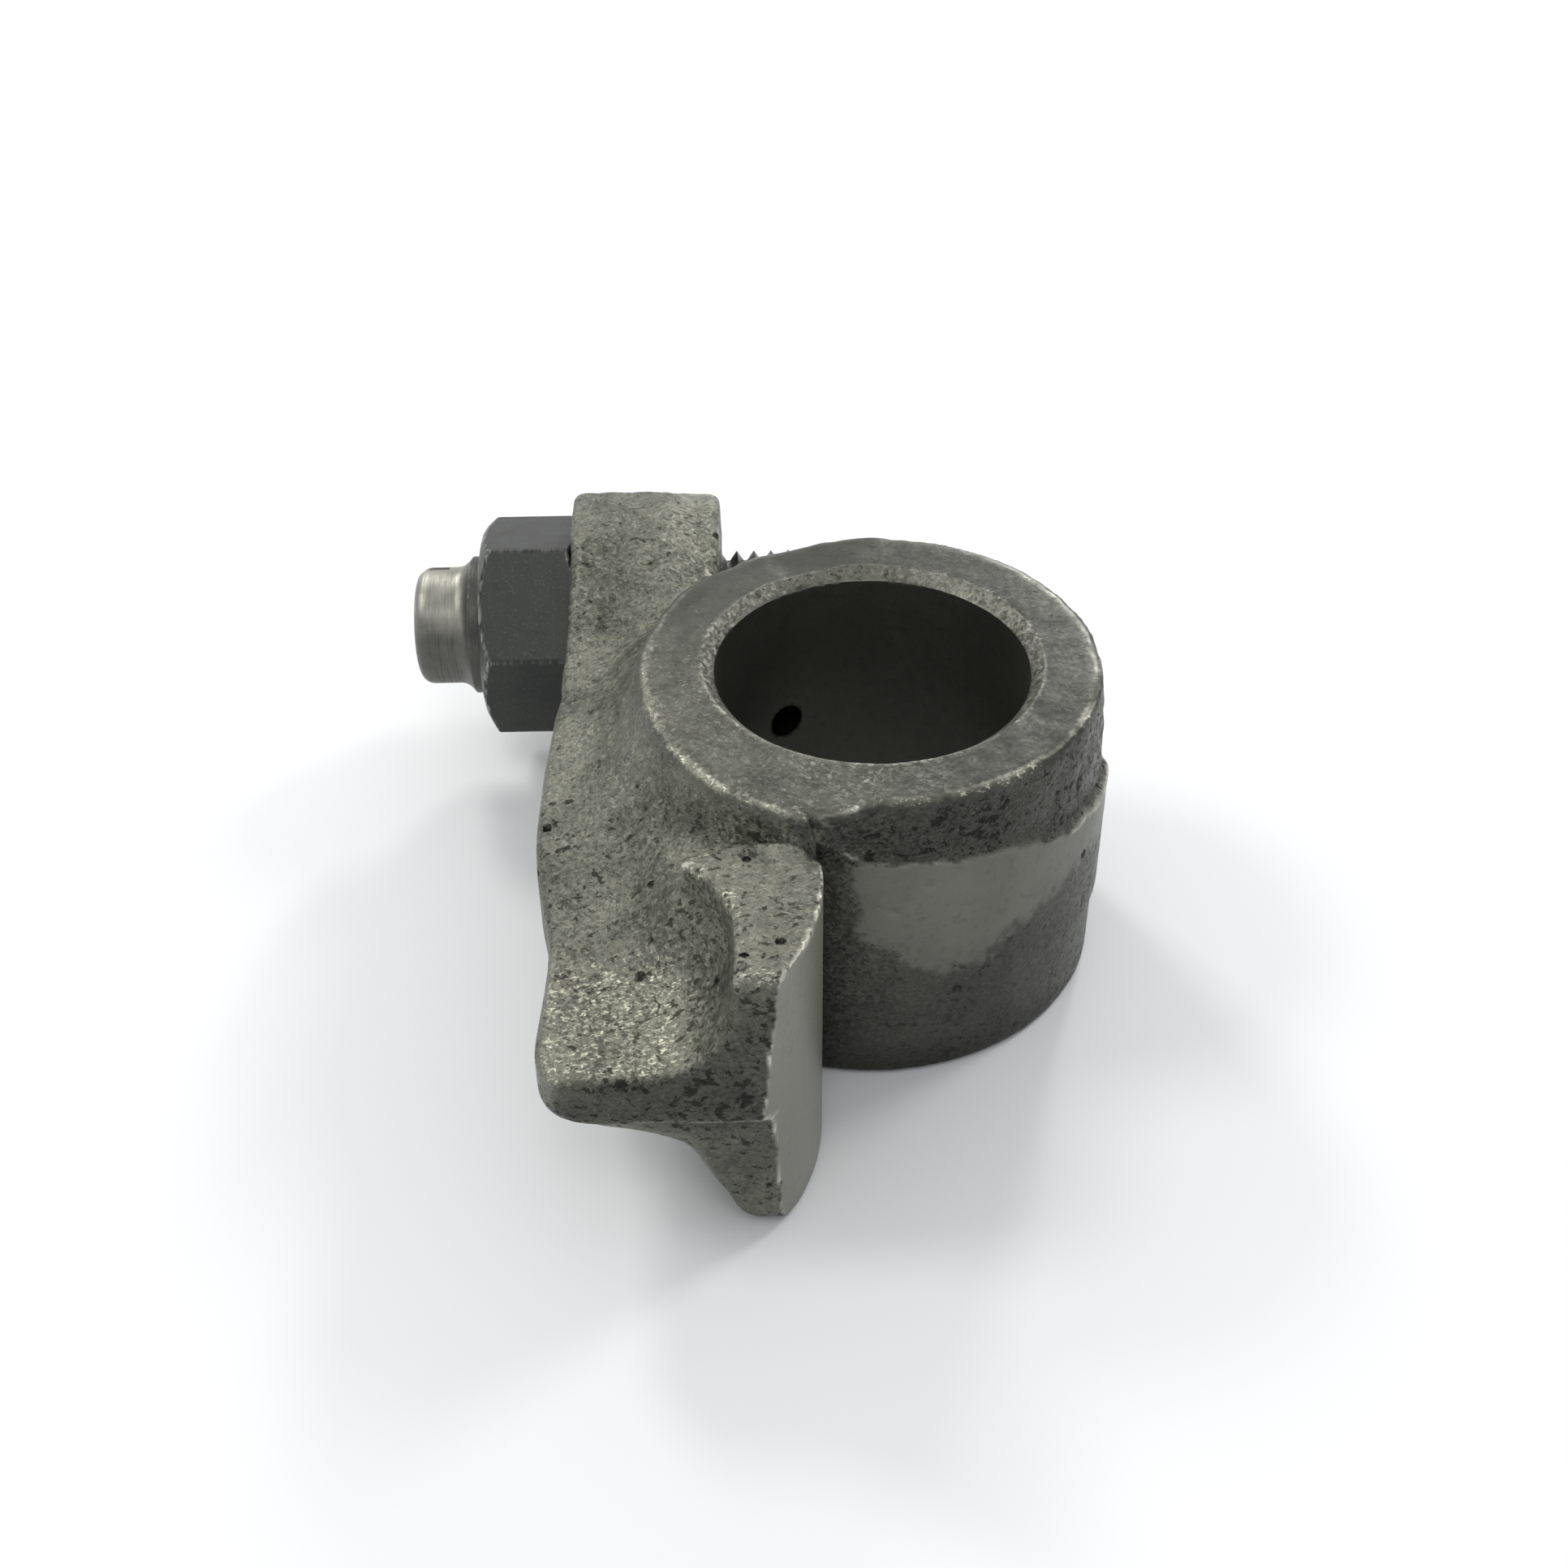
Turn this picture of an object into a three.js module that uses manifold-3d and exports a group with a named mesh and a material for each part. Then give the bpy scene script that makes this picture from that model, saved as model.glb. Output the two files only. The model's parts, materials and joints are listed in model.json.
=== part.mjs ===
// Valve rocker arm for an overhead-cam engine, with its clearance adjusting screw and lock nut.
// Millimetres. +Z runs along the rocker shaft bore, +X points to the side of the cam and the valve,
// +Y points from the bore to the adjusting screw. The origin is on the bore axis, in the plane of
// the shaft boss's lower face.
import * as THREE from 'three';
import { mergeVertices } from 'three/addons/utils/BufferGeometryUtils.js';
import Module from 'manifold-3d';

const wasm = await Module();
wasm.setup();

// ---------- driving dimensions ----------

// Shaft boss: a plain bore with a chamfer at each mouth, in a round boss that is thickest in a land
// around its middle.
const BORE_R = 10;
const BORE_CHAMFER = 0.8;
const BOSS_H = 21.8;
const BOSS_END_R = 14.4;
const BOSS_LAND_R = 15.3;
const BOSS_FOOT_R = 15.0;
const BOSS_FOOT_DRAFT = 0.1;
const LAND_LOW_Z = 6.2;
const LAND_STEP_HALF = 0.2;
const LAND_HIGH_Z = 14;
const BAND_R = 14.7;
const BAND_LOW_Z = 17.5;
const EDGE_BREAK = 0.35;
const MID_Z = BOSS_H / 2;

// Adjuster eye: the round boss that holds the adjusting screw, its axis along X.
const SCREW_Y = 20.6;
const EYE_R = 9.2;
const EYE_SEAT_X = -20;
const EYE_FRONT_X = -9.8;
const EYE_CORNER = 0.6;
const SEAT_R = 9;

// Web: the flat arm along the nut's side, from the eye to the rounded nose. It is thickest in the
// eye and thinnest at the nose.
const WEB_X = -21.1;
const WEB_W = 20;
const WEB_HALF_IN_EYE = 8;
const WAIST_X = -19.8;
const NOSE_Y = -28.6;
const NOSE_HALF = 2.4;
const NOSE_DRAFT = 1.6;
const NOSE_EDGE_HALF = 0.5;

// Slipper: the wide pad that the cam runs on, curved about an axis along Z.
const SLIPPER_W = 18.8;
const SLIPPER_FACE_X = -3.8;
const SLIPPER_FACE_R = 14.5;
const SLIPPER_CROWN_Y = -19;
const SLIPPER_END_Y = -27.4;
const SLIPPER_BACK_X = -8.8;
const SLIPPER_CORNER = 1.2;
const SLIPPER_BULGE = 4;
const SLIPPER_FILLET = 3.6;
const SLIPPER_FILLET_DRAFT = 0.1;
const SLIPPER_ROOT_Y = -10;
const SLIPPER_REACH_Y = NOSE_Y - 0.3;

// Shoulder: the thick metal that joins the boss to the web and the slipper.
const SHOULDER_HALF = 8.6;
const SHOULDER_SLOPE = 0.3;
const SHOULDER_CENTRE = new THREE.Vector2(-4, -2);

// Oil hole through the boss wall, on the side of the adjuster.
const OIL_R = 1.2;
const OIL_ANGLE = THREE.MathUtils.degToRad(122);
const OIL_Z = 10.6;

// Adjusting screw, M10 x 1.25: plain slotted end, thread, round contact tip.
const THREAD_R = 5;
const PITCH = 1.25;
const THREAD_DEPTH = 0.61 * PITCH;
const THREAD_CREST = 0.1 * PITCH;
const THREAD_ROOT = 0.12 * PITCH;
const SCREW_END_X = -31.9;
const PLAIN_R = 4.25;
const PLAIN_L = 3.4;
const PLAIN_ROUND = 0.7;
const FLARE_L = 0.7;
const THREAD_END_X = -4.4;
const TIP_NECK_R = 3.4;
const TIP_NECK_L = 1;
const TIP_BALL_R = 3.6;
const TIP_END_X = -0.6;
const SLOT_W = 1.4;
const SLOT_DEPTH = 2.4;
const SLOT_ANGLE = THREE.MathUtils.degToRad(64);

// Lock nut, 14 mm across flats.
const NUT_FLATS = 14;
const NUT_H = 6.8;
const NUT_GAP = 0.1;
const NUT_CHAMFER_R = 6.7;
const NUT_CHAMFER_SLOPE = 0.54;
const NUT_BACK_R = 7.3;
const NUT_BACK_SLOPE = 0.45;
const NUT_TURN = THREE.MathUtils.degToRad(16);

// The arm's hole and the nut's hole are plain and clear the thread's crests all round.
const THREAD_CLEARANCE = 0.06;
const TAPPED_R = THREAD_R + THREAD_CLEARANCE;
const TAPPED_CHAMFER = 0.5;

// How far a cutting tool runs past what it cuts, and the segments of the round shapes.
const PAST = 1;
const ROUND = 64;
const FINE_ROUND = 32;

// ---------- solids ----------

// Merged, closed triangles of a geometry as a manifold solid.
function toSolid(geometry) {
  const bare = geometry.clone();
  bare.deleteAttribute('normal');
  bare.deleteAttribute('uv');
  const merged = mergeVertices(bare, 1e-5);
  const index = Array.from(merged.index.array);
  const triangles = [];
  for (let i = 0; i < index.length; i += 3) {
    const [a, b, c] = index.slice(i, i + 3);
    if (a !== b && b !== c && c !== a) triangles.push(a, b, c);
  }
  const mesh = new wasm.Mesh({
    numProp: 3,
    vertProperties: new Float32Array(merged.attributes.position.array),
    triVerts: new Uint32Array(triangles),
  });
  return new wasm.Manifold(mesh);
}

function toGeometry(solid) {
  const mesh = solid.getMesh();
  const geometry = new THREE.BufferGeometry();
  geometry.setAttribute('position', new THREE.BufferAttribute(mesh.vertProperties, 3));
  geometry.setIndex(new THREE.BufferAttribute(mesh.triVerts, 1));
  geometry.computeVertexNormals();
  return geometry;
}

function toMesh(name, solid, material) {
  const mesh = new THREE.Mesh(toGeometry(solid), material);
  mesh.name = name;
  return mesh;
}

// Profile points are [radius, height]. The solid of revolution stands on Z.
function turnedOnZ(profile, segments) {
  const points = profile.map(([r, h]) => new THREE.Vector2(r, h));
  const geometry = new THREE.LatheGeometry(points, segments);
  geometry.rotateX(Math.PI / 2);
  return toSolid(geometry);
}

// The same about the screw's axis: profile points are [radius, x].
function turnedOnScrew(profile, segments) {
  const points = profile.map(([r, x]) => new THREE.Vector2(r, x));
  const geometry = new THREE.LatheGeometry(points, segments);
  geometry.rotateZ(-Math.PI / 2);
  geometry.translate(0, SCREW_Y, MID_Z);
  return toSolid(geometry);
}

// A shape drawn in X and Y, from z = low to z = high.
function extrudedOnZ(shape, low, high) {
  const geometry = new THREE.ExtrudeGeometry(shape, {
    depth: high - low,
    bevelEnabled: false,
    curveSegments: 10,
  });
  geometry.translate(0, 0, low);
  return toSolid(geometry);
}

// The same about mid height, drawn in towards a centre near its two ends.
function domedOnZ(shape, half, centre, slope) {
  const steps = 12;
  const geometry = new THREE.ExtrudeGeometry(shape, {
    depth: 2 * half,
    steps,
    bevelEnabled: false,
    curveSegments: 10,
  });
  geometry.translate(0, 0, -half);
  const position = geometry.attributes.position;
  for (let i = 0; i < position.count; i++) {
    const past = Math.max(0, Math.abs(position.getZ(i)) / half - 0.5) * 2;
    const keep = 1 - slope * past * past;
    position.setX(i, centre.x + (position.getX(i) - centre.x) * keep);
    position.setY(i, centre.y + (position.getY(i) - centre.y) * keep);
  }
  geometry.translate(0, 0, MID_Z);
  return toSolid(geometry);
}

// A shape drawn in two axes, carried along the third one.
function extrudedAlong(shape, basis, from, length) {
  const geometry = new THREE.ExtrudeGeometry(shape, {
    depth: length,
    bevelEnabled: false,
    curveSegments: 10,
  });
  geometry.applyMatrix4(new THREE.Matrix4().makeBasis(...basis));
  geometry.translate(from.x, from.y, from.z);
  return toSolid(geometry);
}

const X_AXIS = new THREE.Vector3(1, 0, 0);
const Y_AXIS = new THREE.Vector3(0, 1, 0);
const Z_AXIS = new THREE.Vector3(0, 0, 1);
const YZ_ALONG_X = [Y_AXIS, Z_AXIS, X_AXIS];
const XZ_ALONG_MINUS_Y = [X_AXIS, Z_AXIS, Y_AXIS.clone().negate()];

// A closed outline through points, smooth from each one to the next.
function smoothShape(points, divisions) {
  const curve = new THREE.CatmullRomCurve3(
    points.map(([a, b]) => new THREE.Vector3(a, b, 0)), true, 'centripetal');
  return new THREE.Shape(curve.getPoints(divisions).slice(0, -1).map((p) => new THREE.Vector2(p.x, p.y)));
}

function straightShape(points) {
  return new THREE.Shape(points.map(([a, b]) => new THREE.Vector2(a, b)));
}

// ---------- rocker arm ----------

function bossSolid() {
  return turnedOnZ([
    [0, 0],
    [BOSS_FOOT_R - EDGE_BREAK, 0],
    [BOSS_FOOT_R, EDGE_BREAK],
    [BOSS_FOOT_R + BOSS_FOOT_DRAFT, LAND_LOW_Z - LAND_STEP_HALF],
    [BOSS_LAND_R, LAND_LOW_Z + LAND_STEP_HALF],
    [BOSS_LAND_R, LAND_HIGH_Z],
    [BAND_R, BAND_LOW_Z],
    [BOSS_END_R, BOSS_H - EDGE_BREAK],
    [BOSS_END_R - EDGE_BREAK, BOSS_H],
    [0, BOSS_H],
  ], ROUND);
}

function eyeSolid() {
  return turnedOnScrew([
    [0, EYE_SEAT_X],
    [EYE_R - EYE_CORNER, EYE_SEAT_X],
    [EYE_R, EYE_SEAT_X + EYE_CORNER],
    [EYE_R, EYE_FRONT_X - EYE_CORNER],
    [EYE_R - EYE_CORNER, EYE_FRONT_X],
    [0, EYE_FRONT_X],
  ], ROUND);
}

// The web is an outline seen along the bore, cut to the thickness it has at each place along Y.
function webSolid() {
  const outline = smoothShape([
    [-19, 21.6], [-19.9, 14], [-20.1, 8], [-20.4, 2], [-20.9, -5], [WEB_X, -9], [-20.7, -12.5],
    [-20, -15.5], [WAIST_X, -18], [-20, -21.5], [-20.2, -24.5], [-19.9, -26.3], [-18.6, -27.9],
    [-16.8, NOSE_Y], [-12, NOSE_Y], [SLIPPER_BACK_X, NOSE_Y], [-7.4, -24], [-6.2, -14], [-9, 0],
    [-9.8, 12], [-10.8, 21.6],
  ], 60);
  const halves = [
    [23.6, WEB_HALF_IN_EYE], [16.6, WEB_HALF_IN_EYE], [13.5, 7], [8, 5.8], [0, 5.5], [-6, 4.9],
    [-12, 3.4], [-16, 2.8], [-22, 2.5], [NOSE_Y + NOSE_DRAFT, NOSE_HALF], [NOSE_Y, NOSE_EDGE_HALF],
  ];
  const upper = halves.map(([y, half]) => [y, MID_Z + half]);
  const lower = halves.map(([y, half]) => [y, MID_Z - half]).reverse();
  const side = extrudedAlong(straightShape([...lower, ...upper].reverse()), YZ_ALONG_X,
    new THREE.Vector3(WEB_X - PAST, 0, 0), WEB_W);
  return extrudedOnZ(outline, 0, BOSS_H).intersect(side);
}

// Angle round the cam face's own centre at which the face reaches a given Y.
function faceAngle(y) {
  return Math.asin((y - SLIPPER_CROWN_Y) / SLIPPER_FACE_R);
}

// The slipper's outline seen along the bore: the curved cam face, and the back that flares out
// into the web.
function slipperOutline() {
  const shape = new THREE.Shape();
  const centreX = SLIPPER_FACE_X - SLIPPER_FACE_R;
  shape.absarc(centreX, SLIPPER_CROWN_Y, SLIPPER_FACE_R, faceAngle(SLIPPER_REACH_Y), faceAngle(-13), false);
  shape.lineTo(-12.6, -12.5);
  shape.lineTo(-12, -17.4);
  shape.quadraticCurveTo(-9.2, -19.4, SLIPPER_BACK_X, -22);
  shape.lineTo(SLIPPER_BACK_X, SLIPPER_REACH_Y);
  return shape;
}

// The head seen from the nose: a T lying on its side, with large fillets where the slipper's back
// meets the web.
function headSection() {
  const low = MID_Z - SLIPPER_W / 2;
  const high = MID_Z + SLIPPER_W / 2;
  const webLow = MID_Z - NOSE_HALF;
  const webHigh = MID_Z + NOSE_HALF;
  const filletX = SLIPPER_BACK_X - SLIPPER_FILLET_DRAFT;
  const shape = new THREE.Shape();
  shape.moveTo(0, low);
  shape.lineTo(0, high);
  shape.lineTo(SLIPPER_BACK_X, high);
  shape.lineTo(filletX, webHigh + SLIPPER_FILLET);
  shape.quadraticCurveTo(filletX, webHigh, filletX - SLIPPER_FILLET, webHigh);
  shape.lineTo(filletX - SLIPPER_FILLET, webLow);
  shape.quadraticCurveTo(filletX, webLow, filletX, webLow - SLIPPER_FILLET);
  shape.lineTo(SLIPPER_BACK_X, low);
  return shape;
}

// The slipper's free end seen along X: furthest out at mid height, and rounded at its two corners.
function slipperEndSection() {
  const low = MID_Z - SLIPPER_W / 2;
  const high = MID_Z + SLIPPER_W / 2;
  const shape = new THREE.Shape();
  shape.moveTo(SLIPPER_ROOT_Y, low);
  shape.lineTo(SLIPPER_ROOT_Y, high);
  shape.lineTo(SLIPPER_END_Y + SLIPPER_CORNER, high);
  shape.quadraticCurveTo(SLIPPER_END_Y, high, SLIPPER_END_Y, high - SLIPPER_CORNER);
  shape.quadraticCurveTo(NOSE_Y, MID_Z + SLIPPER_BULGE, NOSE_Y, MID_Z);
  shape.quadraticCurveTo(NOSE_Y, MID_Z - SLIPPER_BULGE, SLIPPER_END_Y, low + SLIPPER_CORNER);
  shape.quadraticCurveTo(SLIPPER_END_Y, low, SLIPPER_END_Y + SLIPPER_CORNER, low);
  return shape;
}

// The fillets between the slipper's back and the web. They stay behind the cam face and stop
// short of the boss.
function filletSolid() {
  const plan = straightShape([
    [-4.6, -16], [-4.8, -24], [-8.2, SLIPPER_REACH_Y], [-14, SLIPPER_REACH_Y], [-14.5, -16],
  ]);
  const start = new THREE.Vector3(0, SLIPPER_ROOT_Y, 0);
  const length = SLIPPER_ROOT_Y - SLIPPER_REACH_Y + PAST;
  const head = extrudedAlong(headSection(), XZ_ALONG_MINUS_Y, start, length);
  return extrudedOnZ(plan, 0, BOSS_H).intersect(head);
}

function slipperSolid() {
  const end = extrudedAlong(slipperEndSection(), YZ_ALONG_X,
    new THREE.Vector3(WEB_X - PAST, 0, 0), PAST - WEB_X);
  return extrudedOnZ(slipperOutline(), 0, BOSS_H)
    .add(filletSolid())
    .intersect(end);
}

// The shoulder spreads from the boss to the web and the slipper, with sloping flanks.
function shoulderSolid() {
  const outline = smoothShape([
    [-4.8, -16.4], [-9.8, -16.4], [-14.5, -12], [-17.2, -4], [-17.4, 4], [-15.5, 12],
    [-10.4, 14], [0, 5],
  ], 40);
  return domedOnZ(outline, SHOULDER_HALF, SHOULDER_CENTRE, SHOULDER_SLOPE);
}

function boreCutter() {
  return turnedOnZ([
    [0, -PAST],
    [BORE_R + BORE_CHAMFER + PAST, -PAST],
    [BORE_R, BORE_CHAMFER],
    [BORE_R, BOSS_H - BORE_CHAMFER],
    [BORE_R + BORE_CHAMFER + PAST, BOSS_H + PAST],
    [0, BOSS_H + PAST],
  ], ROUND);
}

function tappedCutter() {
  return turnedOnScrew([
    [0, EYE_SEAT_X - PAST],
    [TAPPED_R + TAPPED_CHAMFER + PAST, EYE_SEAT_X - PAST],
    [TAPPED_R, EYE_SEAT_X + TAPPED_CHAMFER],
    [TAPPED_R, EYE_FRONT_X - TAPPED_CHAMFER],
    [TAPPED_R + TAPPED_CHAMFER + PAST, EYE_FRONT_X + PAST],
    [0, EYE_FRONT_X + PAST],
  ], FINE_ROUND);
}

// The seat that the lock nut turns on is faced off flat.
function seatCutter() {
  return turnedOnScrew([
    [0, WEB_X - PAST],
    [SEAT_R, WEB_X - PAST],
    [SEAT_R, EYE_SEAT_X],
    [0, EYE_SEAT_X],
  ], ROUND);
}

// The oil hole runs straight out from the bore axis.
function oilCutter() {
  const reach = BOSS_LAND_R + PAST;
  const geometry = new THREE.CylinderGeometry(OIL_R, OIL_R, reach, 20);
  geometry.translate(0, reach / 2, 0);
  geometry.rotateZ(OIL_ANGLE - Math.PI / 2);
  geometry.translate(0, 0, OIL_Z);
  return toSolid(geometry);
}

function rockerArmSolid() {
  return bossSolid()
    .add(eyeSolid())
    .add(webSolid())
    .add(slipperSolid())
    .add(shoulderSolid())
    .subtract(boreCutter())
    .subtract(seatCutter())
    .subtract(tappedCutter())
    .subtract(oilCutter());
}

// ---------- adjusting screw ----------

function plainEndProfile() {
  const points = [[0, SCREW_END_X]];
  const steps = 4;
  for (let i = 0; i <= steps; i++) {
    const turn = (i / steps) * Math.PI / 2;
    points.push([
      PLAIN_R - PLAIN_ROUND + PLAIN_ROUND * Math.sin(turn),
      SCREW_END_X + PLAIN_ROUND - PLAIN_ROUND * Math.cos(turn),
    ]);
  }
  points.push([PLAIN_R, SCREW_END_X + PLAIN_L]);
  return points;
}

// The thread is plain inside the nut and the eye, and has a ring for each pitch in front of the eye.
function threadProfile(startX, endX) {
  const points = [[THREAD_R, startX]];
  const rings = Math.floor((endX - EYE_FRONT_X) / PITCH);
  for (let i = rings; i > 0; i--) {
    const ringX = endX - i * PITCH;
    const rootX = ringX + PITCH / 2;
    points.push([THREAD_R, ringX + THREAD_CREST]);
    points.push([THREAD_R - THREAD_DEPTH, rootX]);
    points.push([THREAD_R - THREAD_DEPTH, rootX + THREAD_ROOT]);
    points.push([THREAD_R, ringX + PITCH]);
  }
  return points;
}

// A cone from the last crest down to the neck, then a round contact tip.
function tipProfile() {
  const centreX = TIP_END_X - TIP_BALL_R;
  const points = [[TIP_NECK_R, THREAD_END_X + TIP_NECK_L]];
  const steps = 6;
  const first = Math.acos(TIP_NECK_R / TIP_BALL_R);
  for (let i = 1; i < steps; i++) {
    const turn = first + (i / steps) * (Math.PI / 2 - first);
    points.push([TIP_BALL_R * Math.cos(turn), centreX + TIP_BALL_R * Math.sin(turn)]);
  }
  points.push([0, TIP_END_X]);
  return points;
}

function slotCutter() {
  const geometry = new THREE.BoxGeometry(SLOT_DEPTH + PAST, 4 * PLAIN_R, SLOT_W);
  geometry.translate(SCREW_END_X + (SLOT_DEPTH - PAST) / 2, 0, 0);
  geometry.rotateX(SLOT_ANGLE);
  geometry.translate(0, SCREW_Y, MID_Z);
  return toSolid(geometry);
}

function adjustingScrewSolid() {
  const threadStart = SCREW_END_X + PLAIN_L + FLARE_L;
  const profile = [
    ...plainEndProfile(),
    ...threadProfile(threadStart, THREAD_END_X),
    ...tipProfile(),
  ];
  return turnedOnScrew(profile, FINE_ROUND).subtract(slotCutter());
}

// ---------- lock nut ----------

function hexagonSolid() {
  const corner = NUT_FLATS / 2 / Math.cos(Math.PI / 6);
  const geometry = new THREE.CylinderGeometry(corner, corner, NUT_H, 6);
  geometry.rotateZ(-Math.PI / 2);
  geometry.rotateX(NUT_TURN);
  geometry.translate(EYE_SEAT_X - NUT_GAP - NUT_H / 2, SCREW_Y, MID_Z);
  return toSolid(geometry);
}

// The turned body that bevels the hexagon's corners, by more at the outer face than at the seat.
function nutTurnedSolid() {
  const seatX = EYE_SEAT_X - NUT_GAP;
  const outerX = seatX - NUT_H;
  const wideR = NUT_FLATS / 2 / Math.cos(Math.PI / 6) + PAST;
  return turnedOnScrew([
    [0, outerX],
    [NUT_CHAMFER_R, outerX],
    [wideR, outerX + (wideR - NUT_CHAMFER_R) * NUT_CHAMFER_SLOPE],
    [wideR, seatX - (wideR - NUT_BACK_R) * NUT_BACK_SLOPE],
    [NUT_BACK_R, seatX],
    [0, seatX],
  ], ROUND);
}

function lockNutSolid() {
  const seatX = EYE_SEAT_X - NUT_GAP;
  const outerX = seatX - NUT_H;
  const hole = turnedOnScrew([
    [0, outerX - PAST],
    [TAPPED_R + TAPPED_CHAMFER + PAST, outerX - PAST],
    [TAPPED_R, outerX + TAPPED_CHAMFER],
    [TAPPED_R, seatX - TAPPED_CHAMFER],
    [TAPPED_R + TAPPED_CHAMFER + PAST, seatX + PAST],
    [0, seatX + PAST],
  ], FINE_ROUND);
  return hexagonSolid().intersect(nutTurnedSolid()).subtract(hole);
}

// ---------- materials and assembly ----------

const castSteel = new THREE.MeshStandardMaterial({ color: 0x6e6e64, roughness: 0.55, metalness: 0.8 });
const turnedSteel = new THREE.MeshStandardMaterial({ color: 0x8c8c82, roughness: 0.35, metalness: 0.9 });
const blackenedSteel = new THREE.MeshStandardMaterial({ color: 0x424442, roughness: 0.5, metalness: 0.7 });

const group = new THREE.Group();
group.add(toMesh('rocker_arm', rockerArmSolid(), castSteel));
group.add(toMesh('adjusting_screw', adjustingScrewSolid(), turnedSteel));
group.add(toMesh('lock_nut', lockNutSolid(), blackenedSteel));

export default group;
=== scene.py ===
"""Valve rocker arm with its adjusting screw and lock nut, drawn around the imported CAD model.

Each piece is one mesh taken from a distance field in millimetres, negative inside the metal. The
forging is blended from soft shapes, and its machined faces are then cut into it. The shaft bore
stands on Z, and the boss's lower face is at z = 0.
"""
import json
import math

import bpy
import numpy as np
from mathutils import Matrix, Vector


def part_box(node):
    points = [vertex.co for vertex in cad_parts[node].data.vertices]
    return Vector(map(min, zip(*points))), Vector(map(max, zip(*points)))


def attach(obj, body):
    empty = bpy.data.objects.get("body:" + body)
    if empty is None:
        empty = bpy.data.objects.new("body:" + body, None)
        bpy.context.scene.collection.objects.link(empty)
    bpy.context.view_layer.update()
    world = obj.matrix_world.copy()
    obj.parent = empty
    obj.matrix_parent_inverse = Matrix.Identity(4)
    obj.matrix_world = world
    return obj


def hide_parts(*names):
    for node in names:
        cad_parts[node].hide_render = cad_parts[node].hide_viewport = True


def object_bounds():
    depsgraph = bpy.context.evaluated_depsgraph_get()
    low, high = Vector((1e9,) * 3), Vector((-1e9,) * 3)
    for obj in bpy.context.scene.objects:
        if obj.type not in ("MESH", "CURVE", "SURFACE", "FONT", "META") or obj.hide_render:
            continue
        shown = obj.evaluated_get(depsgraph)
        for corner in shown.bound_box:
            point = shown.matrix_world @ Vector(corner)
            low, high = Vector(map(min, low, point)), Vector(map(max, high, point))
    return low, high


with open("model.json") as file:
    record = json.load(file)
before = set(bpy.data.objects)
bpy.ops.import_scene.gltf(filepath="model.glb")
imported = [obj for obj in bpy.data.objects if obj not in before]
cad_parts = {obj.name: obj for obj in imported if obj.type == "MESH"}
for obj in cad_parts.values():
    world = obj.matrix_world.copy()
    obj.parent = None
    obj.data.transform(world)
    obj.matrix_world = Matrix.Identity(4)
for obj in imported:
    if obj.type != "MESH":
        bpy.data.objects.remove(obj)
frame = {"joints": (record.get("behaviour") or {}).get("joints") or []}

CAD_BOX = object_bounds()
MM = 0.001


def box_mm(node):
    low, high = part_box(node)
    return np.array(low) / MM, np.array(high) / MM


ARM_LOW, ARM_HIGH = box_mm("rocker_arm")
SCREW_LOW, SCREW_HIGH = box_mm("adjusting_screw")
NUT_LOW, NUT_HIGH = box_mm("lock_nut")
TURN = next(j for j in frame["joints"] if j["name"] == "adjuster_turn")
SCREW_Y, SCREW_Z = np.array(TURN["pos_m"])[1:] / MM
TOP_Z = ARM_HIGH[2]
MID_Z = TOP_Z / 2

# ---------- camera ----------

LENS = 48.45
AZIMUTH, ELEVATION, ROLL = (math.radians(a) for a in (-1.0, 38.57, -0.49))
CAMERA_BACK, CAMERA_RIGHT, CAMERA_UP = 146.36, -5.71, 9.09
CLIP_START = 0.005


def add_camera():
    back = Vector((math.sin(AZIMUTH) * math.cos(ELEVATION),
                   -math.cos(AZIMUTH) * math.cos(ELEVATION), math.sin(ELEVATION)))
    level = Vector((0, 0, 1)).cross(back).normalized()
    rise = back.cross(level)
    right = level * math.cos(ROLL) + rise * math.sin(ROLL)
    up = rise * math.cos(ROLL) - level * math.sin(ROLL)
    place = (back * CAMERA_BACK + right * CAMERA_RIGHT + up * CAMERA_UP) * MM
    camera = bpy.data.objects.new("camera", bpy.data.cameras.new("camera"))
    camera.data.lens = LENS
    camera.data.clip_start = CLIP_START
    camera.matrix_world = Matrix.Translation(place) @ Matrix((right, up, back)).transposed().to_4x4()
    bpy.context.scene.collection.objects.link(camera)
    bpy.context.scene.camera = camera


add_camera()

# ---------- tools for fields ----------

LATTICE_N = 32
LATTICE = np.random.default_rng(11).uniform(-1, 1, (LATTICE_N,) * 3).astype(np.float32)


def wobble(x, y, z, size, seed=0.0):
    """Smooth random values from -1 to 1 that change over about size millimetres."""
    cells, weights = [], []
    for axis, c in enumerate((x, y, z)):
        t = c / size + seed * (axis + 1) * 7.31
        low = np.floor(t)
        t = t - low
        cells.append(low.astype(int))
        weights.append(t * t * (3 - 2 * t))
    total = 0
    for corner in range(8):
        bits = [corner >> axis & 1 for axis in range(3)]
        i, j, k = ((c + b) % LATTICE_N for c, b in zip(cells, bits))
        weight = 1
        for w, b in zip(weights, bits):
            weight = weight * (w if b else 1 - w)
        total = total + LATTICE[i, j, k] * weight
    return total


def ramp(value, start, end):
    """From 0 at start to 1 at end, with soft ends."""
    t = np.clip((value - start) / (end - start), 0, 1)
    return t * t * (3 - 2 * t)


def join(a, b, k):
    """The union of two fields, filleted over about k."""
    h = np.maximum(k - np.abs(a - b), 0) / k
    return np.minimum(a, b) - h * h * k / 4


def meet(a, b, k):
    """What two fields share, its edge rounded over about k."""
    h = np.maximum(k - np.abs(a - b), 0) / k
    return np.maximum(a, b) + h * h * k / 4


def cut(field, tool):
    return np.maximum(field, -tool)


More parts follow.
